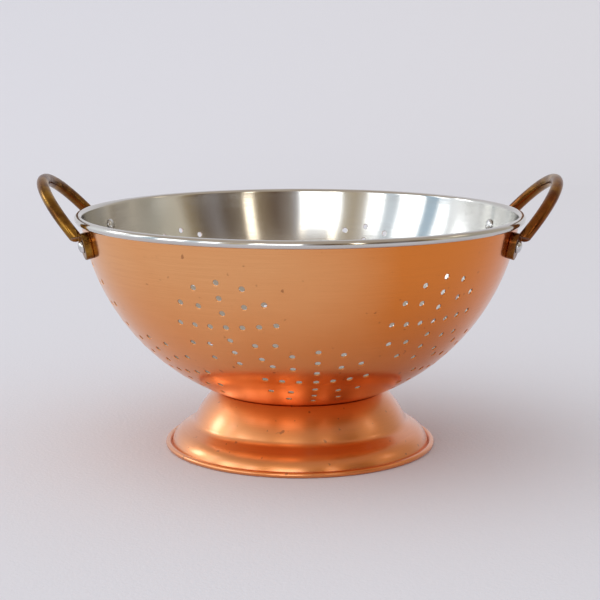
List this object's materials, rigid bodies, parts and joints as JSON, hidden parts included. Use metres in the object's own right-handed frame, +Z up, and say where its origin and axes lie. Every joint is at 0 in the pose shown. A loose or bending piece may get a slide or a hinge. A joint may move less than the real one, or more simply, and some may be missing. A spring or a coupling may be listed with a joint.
{
  "type": "footed colander",
  "caption": "Hemispherical footed colander: a copper bowl with a steel lining and rolled rim, rosettes of drain holes, a flared copper foot and riveted brass loop handles.",
  "frame": {"origin": "on the floor at the centre of the foot's flat underside", "axes": "+Z up along the bowl's axis, X through the two handles, -Y is the front"},
  "size_m": [0.3032, 0.2604, 0.1593],
  "materials": {
    "copper_bowl": "satin polished copper",
    "steel_liner": "spun, fine circular brush lines",
    "foot": "polished copper",
    "solder": "dull tin",
    "handles": "aged, darkened brass",
    "rivets": "smooth domed heads"
  },
  "bodies": {
    "root": {"copper_bowl": "copper_bowl", "steel_liner": "steel_liner", "foot": "foot", "foot_solder": "solder", "handle_right": "handles", "handle_left": "handles", "rivets": "rivets"}
  },
  "joints": []
}
